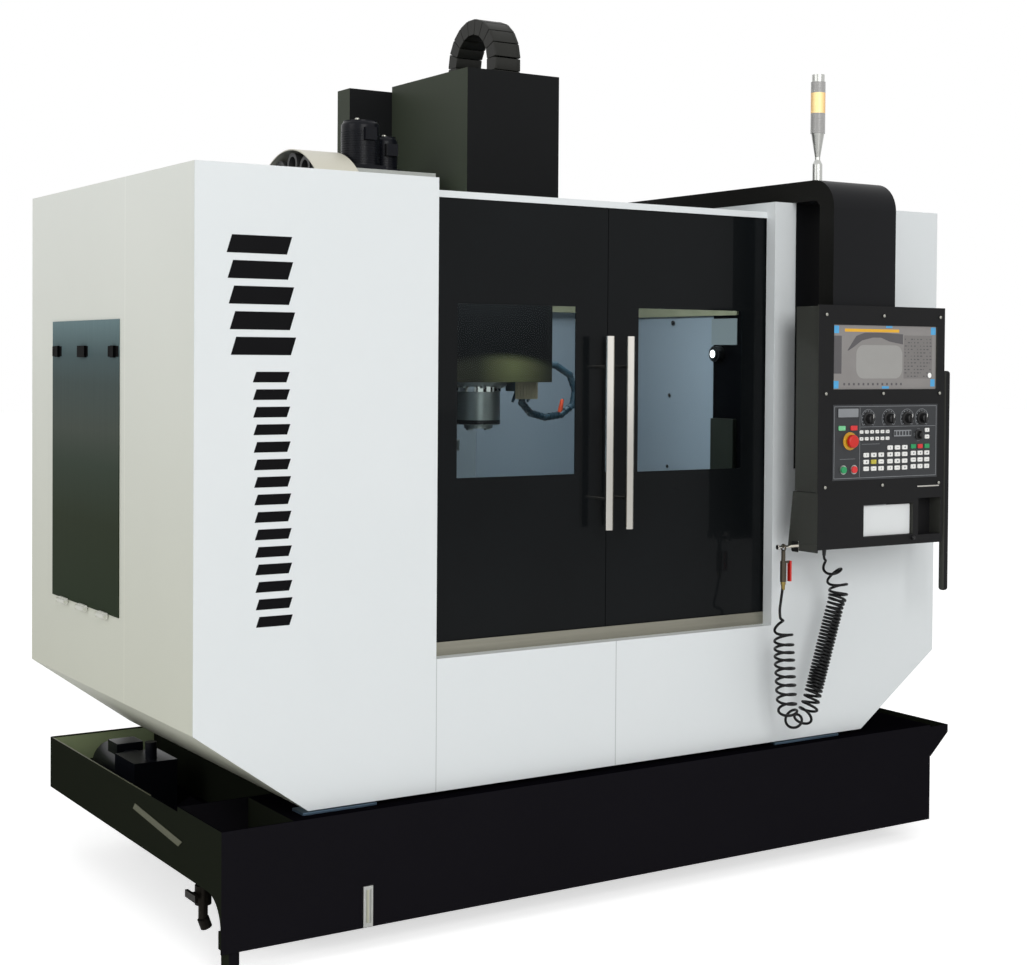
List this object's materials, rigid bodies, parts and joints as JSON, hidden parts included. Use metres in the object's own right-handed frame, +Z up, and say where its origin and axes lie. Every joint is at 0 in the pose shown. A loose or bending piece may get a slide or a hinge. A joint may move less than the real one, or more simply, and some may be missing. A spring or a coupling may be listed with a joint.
{
  "type": "cnc machining center",
  "caption": "Closed white sheet-metal machining centre with sliding doors, moving table and head, tool changer, swivelling control pendant and a black coolant tank in front.",
  "frame": {"origin": "on the floor, under the middle of the machine's bounding box", "axes": "+Z up, +Y from the front doors to the back, +X to the right as the operator sees it"},
  "size_m": [2.5484, 2.3938, 2.5951],
  "materials": {
    "panel_white": "satin white powder coat",
    "hatch_steel": "dark brushed stainless",
    "sill_steel": "brushed stainless",
    "door_black": "gloss black enamel",
    "window_glass": "clear laminated",
    "chrome": "polished",
    "tank_black": "satin black powder coat",
    "arm_black": "satin black powder coat",
    "pendant_black": "fine-textured black",
    "panel_keys": "membrane panel with moulded keys",
    "screen": "flat display",
    "red_plastic": "moulded",
    "green_plastic": "moulded",
    "hose_black": "smooth polyurethane",
    "splash_grey": "blue-grey enamel",
    "casting_grey": "painted light grey",
    "ground_steel": "ground",
    "head_black": "satin black",
    "motor_black": "matt black",
    "bellows_grey": "folded fabric-reinforced rubber",
    "chain_black": "moulded nylon links",
    "magazine_white": "cream enamel",
    "pot_grey": "moulded tool pots",
    "lens": "tinted signal lenses",
    "tower_alloy": "satin anodised",
    "lamp_glass": "frosted",
    "brass_valve": "plain",
    "nozzle_blue": "ball-jointed plastic hose",
    "zinc_steel": "zinc plated",
    "cabinet_white": "textured enamel"
  },
  "bodies": {
    "machine": {"left_front_panel": "panel_white", "right_front_panel": "panel_white", "left_side_panel": "panel_white", "right_side_panel": "panel_white", "front_apron": "panel_white", "door_sill": "sill_steel", "door_header": "panel_white", "splash_guard": "splash_grey", "base_casting": "casting_grey", "levelling_pads": "zinc_steel", "column_casting": "casting_grey", "linear_guides": "ground_steel", "axis_drives": "motor_black", "y_bellows": "bellows_grey", "z_bellows": "bellows_grey", "magazine_cover": "magazine_white", "atc_gearbox": "casting_grey", "atc_motors": "motor_black", "coolant_tank": "tank_black", "drain_valve": "brass_valve", "sight_glass": "tower_alloy", "coolant_pump": "motor_black", "chip_pan": "splash_grey", "electrical_cabinet": "cabinet_white", "pendant_arm": "arm_black", "arm_backing_plate": "arm_black", "signal_tower": "tower_alloy", "signal_lens": "lens", "work_lamp": "lamp_glass"},
    "left_door": {"left_door": "door_black", "left_window": "window_glass", "left_handle": "chrome"},
    "right_door": {"right_door": "door_black", "right_window": "window_glass", "right_handle": "chrome"},
    "side_hatch": {"side_hatch": "hatch_steel"},
    "saddle": {"saddle": "casting_grey"},
    "table": {"work_table": "ground_steel"},
    "head": {"head_casting": "head_black", "head_cover": "head_black", "spindle_cartridge": "ground_steel", "spindle_motor": "motor_black", "coolant_nozzle": "nozzle_blue", "cable_chain": "chain_black"},
    "spindle": {"spindle": "ground_steel"},
    "magazine": {"magazine_disc": "pot_grey"},
    "changer": {"atc_arm": "ground_steel"},
    "auger": {"chip_auger": "zinc_steel"},
    "cabinet_door": {"cabinet_door": "cabinet_white"},
    "main_switch": {"main_switch": "red_plastic"},
    "pendant": {"pendant_box": "pendant_black", "display_screen": "screen", "control_panel": "panel_keys", "air_gun": "tower_alloy", "air_hose": "hose_black"},
    "gun_lever": {"air_gun_lever": "red_plastic"},
    "emergency_stop": {"emergency_stop": "red_plastic"},
    "start_button": {"start_button": "green_plastic"},
    "stop_button": {"stop_button": "red_plastic"},
    "drain_lever": {"drain_lever": "zinc_steel"}
  },
  "joints": [
    {"name": "left_door_slide", "type": "slide", "parent": "machine", "child": "left_door", "axis": [-1, 0, 0], "range_m": [0, 0.52]},
    {"name": "right_door_slide", "type": "slide", "parent": "machine", "child": "right_door", "axis": [1, 0, 0], "range_m": [0, 0.52]},
    {"name": "hatch_tilt", "type": "hinge", "parent": "machine", "child": "side_hatch", "pos_m": [-1.26715, -0.19065, 0.801], "axis": [0, -1, 0], "range_deg": [0, 90]},
    {"name": "y_axis", "type": "slide", "parent": "machine", "child": "saddle", "axis": [0, 1, 0], "range_m": [-0.22, 0.2], "deforming": ["y_bellows"]},
    {"name": "x_axis", "type": "slide", "parent": "saddle", "child": "table", "axis": [1, 0, 0], "range_m": [-0.325, 0.325]},
    {"name": "z_axis", "type": "slide", "parent": "machine", "child": "head", "axis": [0, 0, 1], "range_m": [-0.4, 0.1], "deforming": ["z_bellows", "cable_chain"]},
    {"name": "spindle_spin", "type": "hinge", "parent": "head", "child": "spindle", "pos_m": [-0.00685, -0.24065, 1.284], "axis": [0, 0, 1], "continuous": true},
    {"name": "magazine_spin", "type": "hinge", "parent": "machine", "child": "magazine", "pos_m": [-0.59685, -0.24065, 1.85], "axis": [1, 0, 0], "continuous": true},
    {"name": "changer_turn", "type": "hinge", "parent": "machine", "child": "changer", "pos_m": [-0.29685, -0.24065, 1.235], "axis": [0, 0, 1], "range_deg": [0, 180]},
    {"name": "auger_spin", "type": "hinge", "parent": "machine", "child": "auger", "pos_m": [-0.00685, -0.82565, 0.47], "axis": [1, 0, 0], "continuous": true},
    {"name": "cabinet_door_swing", "type": "hinge", "parent": "machine", "child": "cabinet_door", "pos_m": [0.48045, 1.14465, 1.185], "axis": [0, 0, -1], "range_deg": [0, 110]},
    {"name": "main_switch_turn", "type": "hinge", "parent": "cabinet_door", "child": "main_switch", "pos_m": [-0.37685, 1.14435, 1.5216], "axis": [0, 1, 0], "range_deg": [0, 90]},
    {"name": "pendant_swivel", "type": "hinge", "parent": "machine", "child": "pendant", "pos_m": [0.75715, -1.12565, 1.66], "axis": [0, 0, 1], "range_deg": [-10, 10]},
    {"name": "emergency_stop_press", "type": "slide", "parent": "pendant", "child": "emergency_stop", "axis": [0, 1, 0], "range_m": [0, 0.005], "stiffness_N_per_m": 1500},
    {"name": "start_press", "type": "slide", "parent": "pendant", "child": "start_button", "axis": [0, 1, 0], "range_m": [0, 0.003], "stiffness_N_per_m": 800},
    {"name": "stop_press", "type": "slide", "parent": "pendant", "child": "stop_button", "axis": [0, 1, 0], "range_m": [0, 0.003], "stiffness_N_per_m": 800},
    {"name": "gun_lever_squeeze", "type": "hinge", "parent": "pendant", "child": "gun_lever", "pos_m": [0.54545, -1.07565, 0.914], "axis": [0, 1, 0], "range_deg": [0, 8], "stiffness_Nm_per_rad": 0.6},
    {"name": "drain_lever_turn", "type": "hinge", "parent": "machine", "child": "drain_lever", "pos_m": [-1.18785, -0.82565, 0.153], "axis": [1, 0, 0], "range_deg": [0, 90]}
  ]
}
